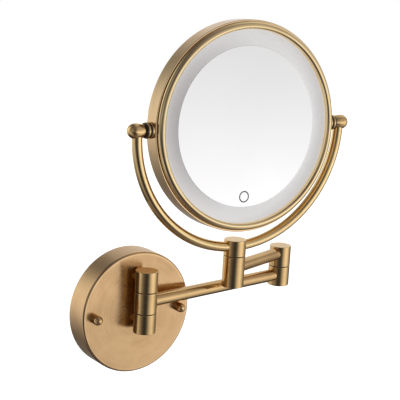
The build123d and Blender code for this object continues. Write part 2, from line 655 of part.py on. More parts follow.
# inner frame: web, light wall under the mirror's edge and outer ring
with BuildPart() as inner_frame:
    with BuildSketch(MIRROR_SECTION):
        with BuildLine():
            Polyline(
                (76.4, -1.0),
                (93.0, -1.0),
                (93.0, -5.05),
                (99.5, -5.05),
                (99.5, 5.05),
                (93.0, 5.05),
                (93.0, 0.6),
                (78.2, 0.6),
                (78.2, 5.05),
                (76.4, 5.05),
                close=True,
            )
        make_face()
    revolve(axis=MIRROR_AXIS)
    with BuildSketch(LEFT.offset(90)):
        Circle(5.4)
    extrude(amount=12, mode=Mode.SUBTRACT)
    with BuildSketch(RIGHT.offset(90)):
        Circle(5.4)
    extrude(amount=12, mode=Mode.SUBTRACT)
    with BuildSketch(BELOW):
        Rectangle(11, 4.2)
    extrude(amount=-12, mode=Mode.SUBTRACT)
save(inner_frame, "inner_frame")

# ring circuit board with its light-emitting diodes facing the frosted ring
with BuildPart() as led_board:
    with BuildSketch(MIRROR.offset(0.7)):
        Circle(91.5)
        Circle(79.5, mode=Mode.SUBTRACT)
    extrude(amount=1.2)
    with BuildSketch(MIRROR.offset(1.9)):
        with PolarLocations(85.5, 36):
            Rectangle(2.8, 3.5)
    extrude(amount=0.8)
    with BuildSketch(LEFT.offset(90)):
        Circle(5.4)
    extrude(amount=12, mode=Mode.SUBTRACT)
    with BuildSketch(RIGHT.offset(90)):
        Circle(5.4)
    extrude(amount=12, mode=Mode.SUBTRACT)
save(led_board, "led_board")

TOUCH_Y = -67.5
with BuildPart() as touch_sensor:
    with BuildSketch(Plane(origin=pivot + MIRROR.y_dir * TOUCH_Y + mirror_front * 3.6, x_dir=side_dir, z_dir=mirror_front)):
        RectangleRounded(14, 14, 2)
    extrude(amount=1.4)
save(touch_sensor, "touch_sensor")

with BuildPart() as battery:
    with BuildSketch(Plane(origin=pivot + MIRROR.y_dir * 8.0 + mirror_front * 0.8, x_dir=side_dir, z_dir=mirror_front)):
        RectangleRounded(64, 44, 2)
    extrude(amount=4.0)
save(battery, "battery")

with BuildPart() as driver_board:
    with BuildSketch(Plane(origin=pivot + MIRROR.y_dir * -38.0 + mirror_front * 1.2, x_dir=side_dir, z_dir=mirror_front)):
        Rectangle(46, 26)
    extrude(amount=1.2)
    with BuildSketch(Plane(origin=pivot + MIRROR.y_dir * -38.0 + mirror_front * 2.4, x_dir=side_dir, z_dir=mirror_front)):
        with Locations((-12, 4), (10, -3)):
            Rectangle(7, 7)
        with Locations((0, 6)):
            Rectangle(5, 4)
    extrude(amount=1.5)
save(driver_board, "driver_board")

# charging socket, its mouth level with the drum's underside
with BuildPart() as charge_socket:
    with BuildSketch(BELOW.offset(-0.1)):
        SlotOverall(9.0, 3.2)
    extrude(amount=-7.3)
    with BuildSketch(BELOW.offset(-0.1)):
        SlotOverall(8.4, 2.6)
    extrude(amount=-6.3, mode=Mode.SUBTRACT)
    with BuildSketch(BELOW.offset(-6.5)):
        Rectangle(6.6, 0.7)
    extrude(amount=5.4)
save(charge_socket, "charge_socket")

print("elbow axis", elbow_axis, "head axis", head_axis)
print("pivot", pivot, "side", side_dir, "front", mirror_front)
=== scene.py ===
import json
import math

import bpy
from mathutils import Matrix, Vector


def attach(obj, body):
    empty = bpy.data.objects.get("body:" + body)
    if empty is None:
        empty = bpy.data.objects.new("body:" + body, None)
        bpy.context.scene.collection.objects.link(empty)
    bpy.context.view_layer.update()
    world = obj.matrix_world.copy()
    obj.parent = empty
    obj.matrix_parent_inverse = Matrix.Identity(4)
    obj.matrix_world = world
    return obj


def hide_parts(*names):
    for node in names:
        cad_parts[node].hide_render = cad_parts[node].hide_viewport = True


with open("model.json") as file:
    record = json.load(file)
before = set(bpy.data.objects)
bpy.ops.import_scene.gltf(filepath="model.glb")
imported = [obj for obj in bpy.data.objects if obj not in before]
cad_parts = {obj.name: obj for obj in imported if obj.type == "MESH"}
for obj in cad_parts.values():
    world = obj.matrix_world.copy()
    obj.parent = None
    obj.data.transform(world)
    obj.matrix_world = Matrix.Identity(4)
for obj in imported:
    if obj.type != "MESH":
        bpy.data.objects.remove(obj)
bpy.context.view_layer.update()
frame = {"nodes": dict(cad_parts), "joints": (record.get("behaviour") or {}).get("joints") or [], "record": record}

# Visual model of the extendable shaving mirror, in metres, in the row frame:
# origin at the centre of the wall bracket's back face, +X along the wall, +Y into the wall, +Z up.
scene = bpy.context.scene
record = frame["record"]
joints = {j["name"]: j for j in frame["joints"]}
MM = 0.001


def joint_at(name):
    return Vector(joints[name]["pos_m"]), Vector(joints[name]["axis"]).normalized()


wall_point, _ = joint_at("arm_swing")
elbow_point, _ = joint_at("elbow_swing")
head_point, _ = joint_at("head_swivel")
pivot, side = joint_at("mirror_tilt")
wall_axis = Vector((wall_point.x, wall_point.y, 0))
elbow_axis = Vector((elbow_point.x, elbow_point.y, 0))
head_axis = Vector((head_point.x, head_point.y, 0))
UP = Vector((0, 0, 1))
OUT = Vector((0, -1, 0))                                   # off the wall
yoke_front = side.cross(UP).normalized()
if yoke_front.y > 0:
    yoke_front.negate()
TILT = math.radians(-3.4)                                  # the head's lean in its yoke at rest
mirror_front = yoke_front * math.cos(TILT) - UP * math.sin(TILT)
mirror_up = mirror_front.cross(side).normalized()
if mirror_up.z < 0:
    mirror_up.negate()
arm1 = (elbow_axis - wall_axis).normalized()
arm2 = (head_axis - elbow_axis).normalized()


# ---------------------------------------------------------------- mesh code
def line_stops(length, edge_a, edge_b):
    """Where a straight run of the outline gets a ring: close to its ends, so that wear fades over a millimetre."""
    stops = {0.0, 1.0}
    for d in (0.35, 0.9, 2.0):
        if d < length * 0.45:
            stops |= {d / length, 1 - d / length}
    for k in range(1, int(length / 9.0) + 1):
        stops.add(k / (int(length / 9.0) + 1))
    return sorted(stops)


def outline(items):
    """Closed outline in the (radius, height) half plane, in millimetres, run anticlockwise.
    An item is (r, h), (r, h, fillet) or ("arc", r, h, radius, from_deg, to_deg, steps).
    Gives segments (p0, p1, n0, n1, wear0, wear1) with exact normals."""
    ends = []
    for it in items:
        if it[0] == "arc":
            _, r, h, rad, a0, a1, n = it
            p0 = (r + rad * math.cos(math.radians(a0)), h + rad * math.sin(math.radians(a0)))
            p1 = (r + rad * math.cos(math.radians(a1)), h + rad * math.sin(math.radians(a1)))
            ends.append((p0, p1))
        else:
            ends.append(((it[0], it[1]), (it[0], it[1])))
    n_items = len(items)
    pieces = []                                           # (start, end, segments) for each item
    for k, it in enumerate(items):
        if it[0] == "arc":
            _, r, h, rad, a0, a1, n = it
            segs = []
            sign = 1.0 if a1 > a0 else -1.0
            for i in range(n):
                t0 = math.radians(a0 + (a1 - a0) * i / n)
                t1 = math.radians(a0 + (a1 - a0) * (i + 1) / n)
                c0, s0, c1, s1 = math.cos(t0), math.sin(t0), math.cos(t1), math.sin(t1)
                segs.append(((r + rad * c0, h + rad * s0), (r + rad * c1, h + rad * s1),
                             (sign * c0, sign * s0), (sign * c1, sign * s1), 0.0, 0.0))
            pieces.append((ends[k][0], ends[k][1], segs))
            continue
        fillet = it[2] if len(it) > 2 else 0.0
        here = Vector(ends[k][0])
        if fillet <= 0:
            pieces.append((ends[k][0], ends[k][0], []))
            continue
        before = Vector(ends[k - 1][1])
        after = Vector(ends[(k + 1) % n_items][0])
        d_in = (here - before).normalized()
        d_out = (after - here).normalized()
        turn = math.atan2(d_in.x * d_out.y - d_in.y * d_out.x, d_in.dot(d_out))
        t = fillet * abs(math.tan(turn / 2))
        start, end = here - d_in * t, here + d_out * t
        s = 1.0 if turn > 0 else -1.0
        inward = Vector((-d_in.y, d_in.x)) * s
        centre = start + inward * fillet
        a0 = math.atan2(start.y - centre.y, start.x - centre.x)
        steps = 5
        segs = []
        for i in range(steps):
            t0, t1 = a0 + turn * i / steps, a0 + turn * (i + 1) / steps
            c0, s0, c1, s1 = math.cos(t0), math.sin(t0), math.cos(t1), math.sin(t1)
            w = 1.0 if turn > 0 else 0.0
            segs.append(((centre.x + fillet * c0, centre.y + fillet * s0),
                         (centre.x + fillet * c1, centre.y + fillet * s1),
                         (s * c0, s * s0), (s * c1, s * s1), w, w))
        pieces.append((tuple(start), tuple(end), segs))
    result = []
    for k in range(n_items):
        result += pieces[k][2]
        p0, p1 = Vector(pieces[k][1]), Vector(pieces[(k + 1) % n_items][0])
        length = (p1 - p0).length
        if length < 1e-6:
            continue
        if p0.x < 1e-9 and p1.x < 1e-9:
            continue                                      # a run on the axis itself
        d = (p1 - p0) / length
        normal = (d.y, -d.x)
        edge_a = 1.0 if pieces[k][2] and items[k][0] != "arc" else 0.0
        nxt = (k + 1) % n_items
        edge_b = 1.0 if pieces[nxt][2] and items[nxt][0] != "arc" else 0.0
        stops = line_stops(length, edge_a, edge_b)
        for a, b in zip(stops[:-1], stops[1:]):
            wear = [max(edge_a * math.exp(-x * length / 0.5), edge_b * math.exp(-(1 - x) * length / 0.5)) for x in (a, b)]
            result.append((tuple(p0 + d * (length * a)), tuple(p0 + d * (length * b)), normal, normal, wear[0], wear[1]))
    return result


def revolved(name, segs, origin, axis, xdir, steps=144, arc=None):
    """Turns an outline about an axis. UV map "brush": U round the axis from 0 to 1, V along the outline in millimetres.
    Corner attribute "wear" is 1 on rounded edges. arc gives (from, to) in degrees for part of a turn, closed at its ends."""
    z = axis.normalized()
    x = (xdir - z * xdir.dot(z)).normalized()
    y = z.cross(x)
    full = arc is None
    a0, a1 = (0.0, 360.0) if full else arc
    rings = steps if full else steps + 1
    angle = [math.radians(a0 + (a1 - a0) * j / steps) for j in range(steps + 1)]
    dirs = [x * math.cos(t) + y * math.sin(t) for t in angle]
    verts, index = [], {}

    def vert(p, j):
        if full:
            j %= steps
        if p[0] < 1e-7:
            j = 0
        key = (round(p[0], 6), round(p[1], 6), j)
        if key not in index:
            index[key] = len(verts)
            verts.append(origin + (dirs[j] * p[0] + z * p[1]) * MM)
        return index[key]

    faces, normals, uvs, wears = [], [], [], []
    v = 0.0
    for p0, p1, n0, n1, w0, w1 in segs:
        dv = math.hypot(p1[0] - p0[0], p1[1] - p0[1])
        for j in range(steps):
            u0, u1 = j / steps, (j + 1) / steps
            corner = [(p0, j, n0, u0, v, w0), (p1, j, n1, u0, v + dv, w1), (p1, j + 1, n1, u1, v + dv, w1), (p0, j + 1, n0, u1, v, w0)]
            if p0[0] < 1e-7:
                corner = [(p0, j, n0, (u0 + u1) / 2, v, w0), corner[1], corner[2]]
            elif p1[0] < 1e-7:
                corner = [corner[0], (p1, j, n1, (u0 + u1) / 2, v + dv, w1), corner[3]]
            corner.reverse()
            faces.append([vert(c[0], c[1]) for c in corner])
            for p, jj, n, u, vv, w in corner:
                radial = dirs[jj] if p[0] >= 1e-7 else (dirs[j] + dirs[j + 1]).normalized()
                normals.append((radial * n[0] + z * n[1]).normalized())
                uvs.append((u, vv))
                wears.append(w)
        v += dv
    if not full:
        for j, flip in ((0, False), (steps, True)):
            ring = [vert(s[0], j) for s in segs]
            tangent = z.cross(dirs[j])
            n = -tangent if j == 0 else tangent
            if flip:
                ring.reverse()
            faces.append(ring)
            normals += [n] * len(ring)
            uvs += [(j / steps, 0.0)] * len(ring)
            wears += [0.0] * len(ring)
    mesh = bpy.data.meshes.new(name)
    mesh.from_pydata([tuple(p) for p in verts], [], faces)
    # outward winding
    first = mesh.polygons[len(mesh.polygons) // 2]
    if first.normal.dot(normals[first.loop_start]) < 0:
        start = 0
        for k, f in enumerate(faces):
            m = len(f)
            f.reverse()
            normals[start:start + m] = normals[start:start + m][::-1]
            uvs[start:start + m] = uvs[start:start + m][::-1]
            wears[start:start + m] = wears[start:start + m][::-1]
            start += m
        mesh.clear_geometry()
        mesh.from_pydata([tuple(p) for p in verts], [], faces)
    uv = mesh.uv_layers.new(name="brush")
    uv.data.foreach_set("uv", [c for pair in uvs for c in pair])
    wear = mesh.attributes.new("wear", "FLOAT", "CORNER")
    wear.data.foreach_set("value", wears)
    mesh.polygons.foreach_set("use_smooth", [True] * len(mesh.polygons))
    mesh.normals_split_custom_set([tuple(n) for n in normals])
    mesh.validate()
    return mesh


def place(name, mesh, body, material, replaces=()):
    obj = bpy.data.objects.new(name, mesh)
    scene.collection.objects.link(obj)
    mesh.materials.clear()
    for m in material if isinstance(material, (list, tuple)) else [material]:
        mesh.materials.append(m)
    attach(obj, body)
    if replaces:
        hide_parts(*replaces)
    return obj


def joined(name, meshes):
    """One mesh of several, each closed, with their maps, attributes and normals."""
    verts, faces, normals, uvs, wears, smooth, mats = [], [], [], [], [], [], []
    for m in meshes:
        base = len(verts)
        verts += [tuple(v.co) for v in m.vertices]
        faces += [[base + i for i in p.vertices] for p in m.polygons]
        mats += [p.material_index for p in m.polygons]
        normals += [tuple(n.vector) for n in m.corner_normals]
        uvs += [c for d in m.uv_layers["brush"].data for c in d.uv]
        wears += [d.value for d in m.attributes["wear"].data]
    mesh = bpy.data.meshes.new(name)
    mesh.from_pydata(verts, [], faces)
    mesh.uv_layers.new(name="brush").data.foreach_set("uv", uvs)
    mesh.attributes.new("wear", "FLOAT", "CORNER").data.foreach_set("value", wears)
    mesh.polygons.foreach_set("use_smooth", [True] * len(mesh.polygons))
    mesh.polygons.foreach_set("material_index", mats)
    mesh.normals_split_custom_set(normals)
    for m in meshes:
        bpy.data.meshes.remove(m)
    return mesh


# ---------------------------------------------------------------- materials
class Nodes:
    """Small helper to wire a procedural material."""

    def __init__(self, name):
        self.mat = bpy.data.materials.new(name)
        self.mat.use_nodes = True
        self.tree = self.mat.node_tree
        self.tree.nodes.clear()
        self.out = self.tree.nodes.new("ShaderNodeOutputMaterial")
        self.bsdf = self.tree.nodes.new("ShaderNodeBsdfPrincipled")
        self.tree.links.new(self.bsdf.outputs[0], self.out.inputs[0])

    def new(self, kind, **values):
        n = self.tree.nodes.new(kind)
        for k, v in values.items():
            setattr(n, k, v)
        return n

    def link(self, a, b):
        self.tree.links.new(a, b)

    def put(self, socket, value):
        if isinstance(value, (int, float)):
            socket.default_value = value
        elif isinstance(value, (tuple, list)):
            socket.default_value = (*value, 1.0)[: len(socket.default_value)]
        else:
            self.link(value, socket)

    def math(self, op, a, b=0.0, c=0.0):
        n = self.new("ShaderNodeMath", operation=op)
        for s, v in zip(n.inputs, (a, b, c)):
            self.put(s, v)
        return n.outputs[0]

    def vec(self, x, y, z):
        n = self.new("ShaderNodeCombineXYZ")
        for s, v in zip(n.inputs, (x, y, z)):
            self.put(s, v)
        return n.outputs[0]

    def noise(self, vector, scale, detail=2.0, rough=0.5, distortion=0.0):
        n = self.new("ShaderNodeTexNoise")
        self.put(n.inputs["Vector"], vector)
        n.inputs["Scale"].default_value = scale
        n.inputs["Detail"].default_value = detail
        n.inputs["Roughness"].default_value = rough
        n.inputs["Distortion"].default_value = distortion
        return n.outputs["Fac"]

    def ramp(self, value, stops, interpolation="LINEAR"):
        n = self.new("ShaderNodeValToRGB")
        n.color_ramp.interpolation = interpolation
        e = n.color_ramp.elements
        while len(e) < len(stops):
            e.new(0.5)
        for k, (pos, col) in enumerate(stops):
            e[k].position = pos
            e[k].color = (*col, 1.0) if len(col) == 3 else col
        self.put(n.inputs[0], value)
        return n.outputs[0]

    def mix(self, factor, a, b, blend="MIX"):
        n = self.new("ShaderNodeMix", data_type="RGBA", blend_type=blend)
        self.put(n.inputs[0], factor)
        self.put(n.inputs[6], a)
        self.put(n.inputs[7], b)
        return n.outputs[2]

    def map_range(self, value, a, b, c, d):
        n = self.new("ShaderNodeMapRange")
        for s, v in zip(n.inputs, (value, a, b, c, d)):
            self.put(s, v)
        return n.outputs[0]


BRASS = (0.70, 0.48, 0.26)
BRASS_DARK = (0.50, 0.315, 0.155)
BRASS_WORN = (0.80, 0.575, 0.335)


def brass(name, roughness, anisotropic, rotation, line_scale=2.6, line_bump=0.05, contrast=1.0, around=True, hue_and_painted_light=(1.0, 1.0, 1.0), polish=0.05):
    """Antique brass, brushed: fine lines along the turned direction, brown patina in slow patches, worn brighter on edges."""
    m = Nodes(name)
    uv = m.new("ShaderNodeUVMap", uv_map="brush")
    sep = m.new("ShaderNodeSeparateXYZ")
    m.link(uv.outputs[0], sep.inputs[0])
    turn = m.math("MULTIPLY", sep.outputs[0], 2 * math.pi)
    cos, sin = m.math("COSINE", turn), m.math("SINE", turn)
    coord = m.new("ShaderNodeTexCoord")
    # lines that run round the turned direction and stay fine across it
    if around:
        v = sep.outputs[1]
        fine = m.noise(m.vec(m.math("MULTIPLY", cos, 1.6), m.math("MULTIPLY", sin, 1.6), m.math("MULTIPLY", v, line_scale)), 1.0, 3.0, 0.65)
        broad = m.noise(m.vec(m.math("MULTIPLY", cos, 0.9), m.math("MULTIPLY", sin, 0.9), m.math("MULTIPLY", v, line_scale * 0.16)), 1.0, 2.0, 0.5)
    else:
        # a swept tube: U runs along it and V round its section, so the lines cross the tube
        sec = m.math("MULTIPLY", sep.outputs[1], 1.0 / 5.0)
        c2, s2 = m.math("COSINE", sec), m.math("SINE", sec)
        along = m.math("MULTIPLY", sep.outputs[0], 370.0)
        fine = m.noise(m.vec(m.math("MULTIPLY", c2, 1.3), m.math("MULTIPLY", s2, 1.3), m.math("MULTIPLY", along, line_scale)), 1.0, 3.0, 0.65)
        broad = m.noise(m.vec(m.math("MULTIPLY", c2, 0.8), m.math("MULTIPLY", s2, 0.8), m.math("MULTIPLY", along, line_scale * 0.16)), 1.0, 2.0, 0.5)
    grain = m.noise(coord.outputs["Object"], 2600.0, 2.0, 0.6)
    patch = m.noise(coord.outputs["Object"], 34.0, 3.0, 0.55, 0.3)
    wear = m.new("ShaderNodeAttribute", attribute_name="wear")
    # colour
    tone = m.math("ADD", m.math("MULTIPLY", patch, 0.55), m.math("ADD", m.math("MULTIPLY", broad, 0.25), m.math("MULTIPLY", fine, 0.20)))
    half = 0.13 * contrast
    tone = m.map_range(tone, 0.5 - half * 1.6, 0.5 + half * 1.6, 0.5 - 0.28 * contrast, 0.5 + 0.28 * contrast)
    # the per-part tint scales the brass: partly the part's own hue, partly painted light that makes its highlights
    # brighter
    dark, mid, worn = (tuple(min(1.0, c * t) for c, t in zip(base, hue_and_painted_light)) for base in (BRASS_DARK, BRASS, BRASS_WORN))
    colour = m.ramp(tone, [(0.0, dark), (0.5, mid), (1.0, worn)])
    edge = m.math("MULTIPLY", wear.outputs["Fac"], m.map_range(patch, 0.35, 0.65, 0.25, 0.75))
    colour = m.mix(edge, colour, worn)
    m.link(colour, m.bsdf.inputs["Base Color"])
    # roughness
    r = m.math("ADD", m.map_range(fine, 0.3, 0.7, -0.05, 0.05), m.map_range(grain, 0.3, 0.7, -0.03, 0.03))
    r = m.math("ADD", r, m.map_range(patch, 0.3, 0.7, 0.03, -0.03))
    r = m.math("ADD", r, m.math("MULTIPLY", wear.outputs["Fac"], -polish))
    m.link(m.math("ADD", r, roughness), m.bsdf.inputs["Roughness"])
    # bump
    bump = m.new("ShaderNodeBump")
    bump.inputs["Strength"].default_value = 1.0
    bump.inputs["Distance"].default_value = 0.001
    height = m.math("ADD", m.math("MULTIPLY", fine, line_bump * 0.12), m.math("MULTIPLY", grain, line_bump * 0.05))
    m.link(height, bump.inputs["Height"])
    m.link(bump.outputs[0], m.bsdf.inputs["Normal"])
    m.bsdf.inputs["Metallic"].default_value = 1.0
    m.bsdf.inputs["Anisotropic"].default_value = anisotropic
    m.bsdf.inputs["Anisotropic Rotation"].default_value = rotation
    tangent = m.new("ShaderNodeTangent", direction_type="UV_MAP", uv_map="brush")
    m.link(tangent.outputs[0], m.bsdf.inputs["Tangent"])
    return m.mat


# per-part tints: partly each part's own hue, partly painted light; turned parts, balls, nuts, tubes, yoke, bezel rings
# and drum are brighter than the plate's brass so their highlights read brighter, the bezel rings' also paler
plate_brass = brass("brushed_brass_plate", 0.25, 0.78, 0.25, 1.4, 0.035, 1.15, hue_and_painted_light=(1.02, 0.98, 0.935), polish=0.14)
turned_brass = brass("brushed_brass_turned", 0.17, 0.45, 0.25, 3.0, 0.035, hue_and_painted_light=(1.14, 1.12, 0.96))
ball_brass = brass("brushed_brass_ball", 0.18, 0.2, 0.25, 3.0, 0.03, hue_and_painted_light=(1.26, 1.27, 1.12))
nut_brass = brass("brushed_brass_nut", 0.13, 0.2, 0.25, 3.0, 0.03, hue_and_painted_light=(1.28, 1.24, 1.08))
tube_brass = brass("brushed_brass_tube", 0.16, 0.35, 0.25, 2.0, 0.03, hue_and_painted_light=(1.10, 1.06, 0.93))
yoke_brass = brass("brushed_brass_yoke", 0.11, 0.3, 0.0, 1.6, 0.02, 1.0, around=False, hue_and_painted_light=(1.33, 1.43, 1.31))
ring_brass = brass("brushed_brass_ring", 0.11, 0.35, 0.25, 2.4, 0.02, hue_and_painted_light=(1.39, 1.54, 1.56))
drum_brass = brass("brushed_brass_drum", 0.14, 0.35, 0.25, 2.4, 0.02, hue_and_painted_light=(1.06, 1.09, 1.12))


def steel(name, colour=(0.52, 0.53, 0.54), roughness=0.34):
    """Zinc-plated steel: mottled grey with a faint warm bloom and a fine spangle."""
    m = Nodes(name)
    coord = m.new("ShaderNodeTexCoord")
    spangle = m.new("ShaderNodeTexVoronoi")
    spangle.inputs["Scale"].default_value = 900.0
    m.link(coord.outputs["Object"], spangle.inputs["Vector"])
    cloud = m.noise(coord.outputs["Object"], 120.0, 4.0, 0.6, 0.4)
    tone = m.math("ADD", m.math("MULTIPLY", cloud, 0.75), m.math("MULTIPLY", spangle.outputs["Distance"], 0.25))
    dark = tuple(c * 0.72 for c in colour)
    light = (colour[0] * 1.22, colour[1] * 1.2, colour[2] * 1.12)
    m.link(m.ramp(tone, [(0.25, dark), (0.5, colour), (0.78, light)]), m.bsdf.inputs["Base Color"])
    m.link(m.map_range(cloud, 0.3, 0.7, roughness - 0.08, roughness + 0.1), m.bsdf.inputs["Roughness"])
    bump = m.new("ShaderNodeBump")
    bump.inputs["Strength"].default_value = 0.4
    bump.inputs["Distance"].default_value = 0.00003
    m.link(cloud, bump.inputs["Height"])
    m.link(bump.outputs[0], m.bsdf.inputs["Normal"])
    m.bsdf.inputs["Metallic"].default_value = 1.0
    return m.mat


def plastic(name, colour, roughness, grain=700.0, depth=0.00003, spread=0.12):
    """Moulded plastic: a fine spark-eroded grain and slow tonal drift."""
    m = Nodes(name)
    coord = m.new("ShaderNodeTexCoord")
    fine = m.noise(coord.outputs["Object"], grain, 3.0, 0.6)
    slow = m.noise(coord.outputs["Object"], 30.0, 2.0, 0.5)
    tone = m.math("ADD", m.math("MULTIPLY", slow, 0.6), m.math("MULTIPLY", fine, 0.4))
    lo = tuple(c * (1 - spread) for c in colour)
    hi = tuple(min(1.0, c * (1 + spread)) for c in colour)
    m.link(m.ramp(tone, [(0.3, lo), (0.7, hi)]), m.bsdf.inputs["Base Color"])
    m.link(m.map_range(fine, 0.3, 0.7, roughness - 0.06, roughness + 0.06), m.bsdf.inputs["Roughness"])
    bump = m.new("ShaderNodeBump")
    bump.inputs["Strength"].default_value = 0.5
    bump.inputs["Distance"].default_value = depth
    m.link(fine, bump.inputs["Height"])
    m.link(bump.outputs[0], m.bsdf.inputs["Normal"])
    return m.mat


def silver(name):
    """Silvered glass: near-perfect mirror with the faintest tonal drift of the silver layer."""
    m = Nodes(name)
    coord = m.new("ShaderNodeTexCoord")
    slow = m.noise(coord.outputs["Object"], 14.0, 2.0, 0.5)
    m.link(m.ramp(slow, [(0.3, (0.930, 0.934, 0.936)), (0.7, (0.952, 0.955, 0.956))]), m.bsdf.inputs["Base Color"])
    m.link(m.map_range(slow, 0.3, 0.7, 0.012, 0.03), m.bsdf.inputs["Roughness"])
    m.bsdf.inputs["Metallic"].default_value = 1.0
    return m.mat


# painted shade: the angle round the ring where its painted glow is weakest, at the far left
PAINTED_SHADE_TURN = math.radians(-170)


def frosted(name):
    """Frosted light ring: etched white acrylic with a soft sheen and a very fine etch, given painted light (a faint
    glow of its own) with painted shade (less glow) towards the far left.
    """
    m = Nodes(name)
    coord = m.new("ShaderNodeTexCoord")
    etch = m.noise(coord.outputs["Object"], 1800.0, 2.0, 0.6)
    slow = m.noise(coord.outputs["Object"], 22.0, 2.0, 0.5)
    tone = m.math("ADD", m.math("MULTIPLY", slow, 0.7), m.math("MULTIPLY", etch, 0.3))
    m.link(m.ramp(tone, [(0.3, (0.91, 0.915, 0.92)), (0.7, (0.94, 0.943, 0.946))]), m.bsdf.inputs["Base Color"])
    m.link(m.map_range(etch, 0.3, 0.7, 0.36, 0.50), m.bsdf.inputs["Roughness"])
    # painted light and painted shade: the diffuser is given a little light of its own, less at the far left, only to
    # match how the photograph shades the ring
    uv = m.new("ShaderNodeUVMap", uv_map="brush")
    sep = m.new("ShaderNodeSeparateXYZ")
    m.link(uv.outputs[0], sep.inputs[0])
    swing = m.math("MAXIMUM", m.math("COSINE", m.math("MULTIPLY_ADD", sep.outputs[0], 2 * math.pi, PAINTED_SHADE_TURN)), 0.0)
    level = m.math("MULTIPLY_ADD", m.math("POWER", swing, 1.5), -0.20, 0.365)
    painted_glow = m.mix(level, (0.0, 0.0, 0.0), m.ramp(tone, [(0.3, (0.96, 0.98, 1.0)), (0.7, (0.99, 0.995, 1.0))]))
    m.link(painted_glow, m.bsdf.inputs["Emission Color"])
    m.bsdf.inputs["Emission Strength"].default_value = 1.0
    bump = m.new("ShaderNodeBump")
    bump.inputs["Strength"].default_value = 0.3
    bump.inputs["Distance"].default_value = 0.00002
    m.link(etch, bump.inputs["Height"])
    m.link(bump.outputs[0], m.bsdf.inputs["Normal"])
    return m.mat


def ground_edge(name):
    """Ground and polished edge of the mirror glass: pale, slightly green."""
    m = Nodes(name)
    coord = m.new("ShaderNodeTexCoord")
    fine = m.noise(coord.outputs["Object"], 1500.0, 2.0, 0.6)
    m.link(m.ramp(fine, [(0.3, (0.80, 0.84, 0.83)), (0.7, (0.90, 0.93, 0.92))]), m.bsdf.inputs["Base Color"])
    m.link(m.map_range(fine, 0.3, 0.7, 0.12, 0.25), m.bsdf.inputs["Roughness"])
    return m.mat


zinc = steel("zinc_plated_steel")
screw_steel = steel("blackened_screw_steel", (0.20, 0.195, 0.19), 0.4)
silvering = silver("silvered_glass_face")
glass_edge = ground_edge("ground_glass_edge")
frosted_ring = frosted("frosted_ring_painted_glow")
dark_nylon = plastic("dark_nylon_washer", (0.030, 0.024, 0.020), 0.45)
white_abs = plastic("white_moulded_frame", (0.78, 0.78, 0.76), 0.5)
board_green = plastic("green_circuit_board", (0.05, 0.16, 0.09), 0.35, 1200.0, 0.00002, 0.25)
foil = steel("battery_foil", (0.66, 0.67, 0.69), 0.28)
mark_grey = plastic("etched_touch_mark", (0.155, 0.155, 0.158), 0.4)

# ---------------------------------------------------------------- wall cover
COVER_R, COVER_DEPTH = 60.0, 25.5
cover = revolved("wall_plate", outline([
    (0, 23.0), (57.0, 23.0, 1.2), (58.2, 21.8), (58.2, 0.0, 0.3), (60.0, 0.0, 0.45), (60.0, 25.5, 2.2), (0, 25.5)]),
    Vector((0, 0, 0)), OUT, Vector((1, 0, 0)), 288)
place("wall_plate", cover, "base", plate_brass, ["wall_cover"])

nuts = []
for x in (-47.0, 47.0):
    nuts.append(revolved("nut", outline([
        (2.02, 33.4), (2.02, 25.5), (4.6, 25.5, 0.3), (4.6, 31.5), ("arc", 0, 31.5, 4.6, 0, 90, 16), (0, 33.4)]),
        Vector((x * MM, 0, 0)), OUT, Vector((1, 0, 0)), 72))
place("domed_nuts", joined("domed_nuts", nuts), "base", nut_brass, ["dome_nuts"])

# ---------------------------------------------------------------- knuckles
EDGE = 0.45
X = Vector((1, 0, 0))
lower = revolved("column_lower", outline([
    (0, -15.2), (11, -15.2, EDGE), (11, 4.1, EDGE), (3.02, 4.1), (3.02, -11.2), (0, -11.2)]), wall_axis, UP, X)
place("column_lower", lower, "base", turned_brass, ["column_lower_knuckle"])
upper = revolved("column_upper", outline([
    (0, 41.7), (3.02, 41.7), (3.02, 25.7), (11, 25.7, EDGE), (11, 45.7, EDGE), (0, 45.7)]), wall_axis, UP, X)
place("column_upper", upper, "base", turned_brass, ["column_upper_knuckle"])
moving = revolved("column_middle", outline([
    (3.05, 25.1), (3.05, 4.7), (11, 4.7, EDGE), (11, 25.1, EDGE)]), wall_axis, UP, X)
place("column_middle", moving, "lower_arm", turned_brass, ["lower_arm_knuckle"])
stubs = []
for z in (-5.4, 35.7):
    stubs.append(revolved("stub", outline([
        (2.02, 32.5), (2.02, 25.5), (4.5, 25.5), (4.5, 32.5)]), Vector((0, 0, z * MM)), OUT, X, 64))
place("column_stands", joined("column_stands", stubs), "base", turned_brass, ["column_stubs"])

elbow_low = revolved("elbow_lower", outline([
    (4.05, 24.5), (4.05, 9.8), (2.4, 9.8), (2.4, 7.8), (4.8, 7.8), (4.8, 4.2, 0.3), (11, 4.2, EDGE), (11, 24.5, EDGE)]),
    elbow_axis, UP, X)
place("elbow_lower", elbow_low, "lower_arm", turned_brass, ["elbow_lower_knuckle"])
head_low = revolved("head_lower", outline([
    (4.05, 50.8), (4.05, 26.5), (2.4, 26.5), (2.4, 23.5), (4.8, 23.5), (4.8, 19.5, 0.3), (11, 19.5, EDGE), (11, 50.8, EDGE)]),
    head_axis, UP, X)
place("head_lower", head_low, "upper_arm", turned_brass, ["head_lower_knuckle"])


def cut(mesh, cutter, segs_origin):
    """Cuts a closed mesh out of another, keeping map and wear; normals are made again from the faces."""
    a = bpy.data.objects.new("cut_a", mesh)
    b = bpy.data.objects.new("cut_b", cutter)
    scene.collection.objects.link(a)
    scene.collection.objects.link(b)
    mod = a.modifiers.new("cut", "BOOLEAN")
    mod.operation, mod.solver, mod.object = "DIFFERENCE", "EXACT", b
    bpy.context.view_layer.update()
    dg = bpy.context.evaluated_depsgraph_get()
    made = bpy.data.meshes.new_from_object(a.evaluated_get(dg), preserve_all_data_layers=True, depsgraph=dg)
    bpy.data.objects.remove(a)
    bpy.data.objects.remove(b)
    bpy.data.meshes.remove(mesh)
    bpy.data.meshes.remove(cutter)
    return made


